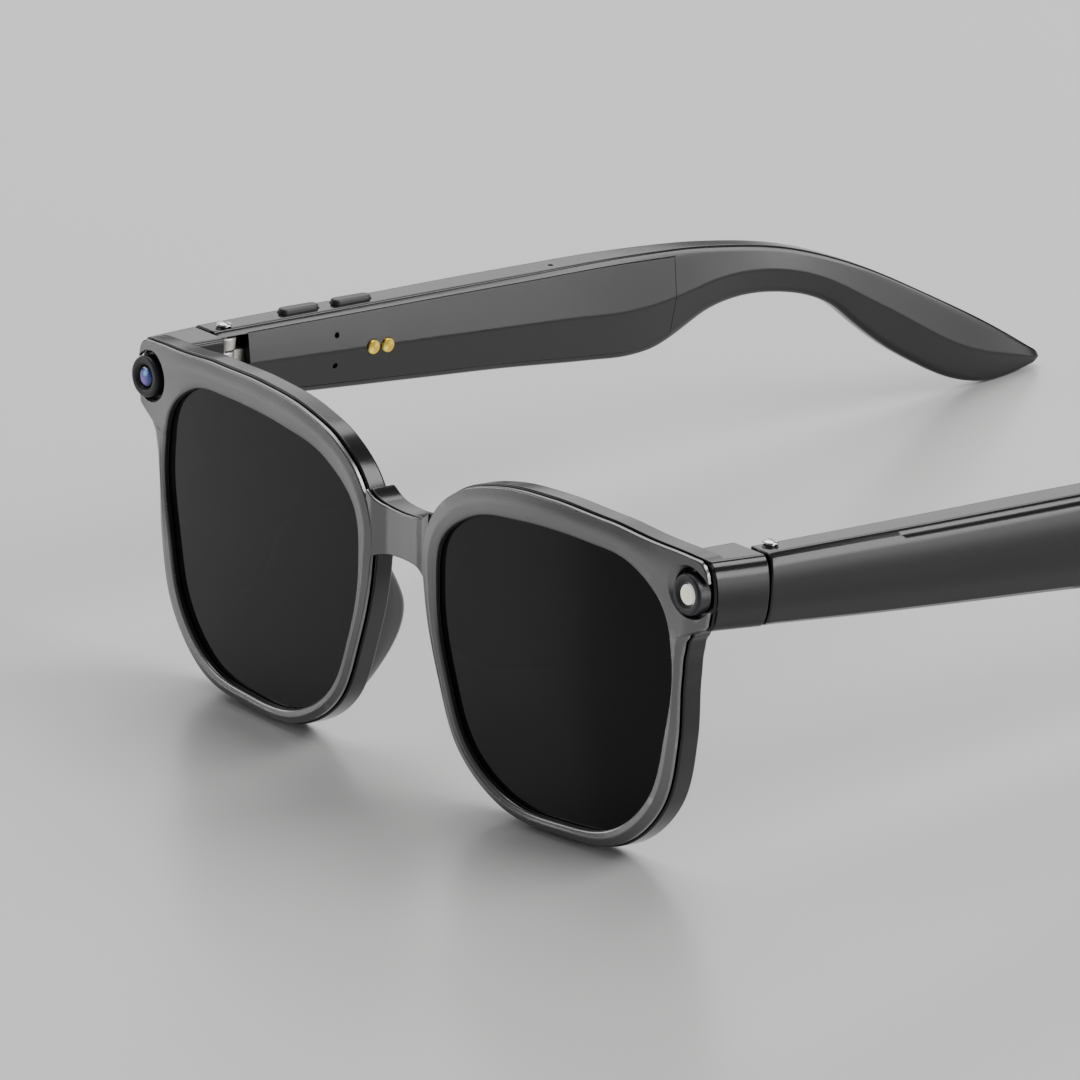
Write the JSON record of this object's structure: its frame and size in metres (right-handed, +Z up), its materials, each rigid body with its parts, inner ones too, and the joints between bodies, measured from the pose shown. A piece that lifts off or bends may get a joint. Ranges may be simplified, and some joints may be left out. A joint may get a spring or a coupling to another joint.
{
  "type": "smart glasses",
  "caption": "Folding dark-lensed smart glasses with a camera and a capture light in the front corners, electronics in thick temples, push buttons and charging contacts.",
  "frame": {"origin": "centre of the footprint on the surface the open glasses stand on, under rims and temple tips", "axes": "+X to the wearer's left, +Y from the front towards the temple tips, +Z up from the surface"},
  "size_m": [0.1368, 0.1728, 0.0513],
  "materials": {
    "frame_black": "satin black moulding",
    "dark_lens": "dark tinted",
    "hinge_metal": "satin",
    "gold_contact": "gold plated",
    "circuit_board": "solder mask",
    "coated_glass": "blue coated",
    "diffuser": "milky",
    "cell_foil": "foil",
    "module_black": "satin",
    "button_black": "satin"
  },
  "bodies": {
    "front": {"front_frame": "frame_black", "frame_back_cover": "frame_black", "lens_left": "dark_lens", "lens_right": "dark_lens", "camera_bezel": "module_black", "camera_glass": "coated_glass", "camera_barrel": "module_black", "camera_board": "circuit_board", "light_bezel": "module_black", "light_diffuser": "diffuser", "light_board": "circuit_board", "hinge_front_leaf_left": "hinge_metal", "hinge_front_leaf_right": "hinge_metal"},
    "temple_left": {"temple_shell_left": "frame_black", "temple_panel_left": "frame_black", "hinge_temple_leaf_left": "hinge_metal", "hinge_screw_left": "hinge_metal", "battery_left": "cell_foil", "speaker_left": "module_black", "audio_board_left": "circuit_board"},
    "temple_right": {"temple_shell_right": "frame_black", "temple_panel_right": "frame_black", "hinge_temple_leaf_right": "hinge_metal", "hinge_screw_right": "hinge_metal", "battery_right": "cell_foil", "speaker_right": "module_black", "main_board_right": "circuit_board", "switch_board_right": "circuit_board", "charge_contact_front": "gold_contact", "charge_contact_rear": "gold_contact", "microphone_upper": "module_black", "microphone_lower": "module_black", "microphone_top": "module_black"},
    "button_front": {"button_front": "button_black"},
    "button_rear": {"button_rear": "button_black"}
  },
  "joints": [
    {"name": "temple_left_fold", "type": "hinge", "parent": "front", "child": "temple_left", "pos_m": [0.0638, -0.0661, 0.04213], "axis": [-0.0872, 0.1286, 0.9879], "range_deg": [0, 90]},
    {"name": "temple_right_fold", "type": "hinge", "parent": "front", "child": "temple_right", "pos_m": [-0.0638, -0.0661, 0.04213], "axis": [-0.0872, -0.1286, -0.9879], "range_deg": [0, 75]},
    {"name": "button_front_press", "type": "slide", "parent": "temple_right", "child": "button_front", "axis": [0, -0.1291, -0.9916], "range_m": [0, 0.00035], "stiffness_N_per_m": 900},
    {"name": "button_rear_press", "type": "slide", "parent": "temple_right", "child": "button_rear", "axis": [0, -0.1291, -0.9916], "range_m": [0, 0.00035], "stiffness_N_per_m": 900}
  ]
}
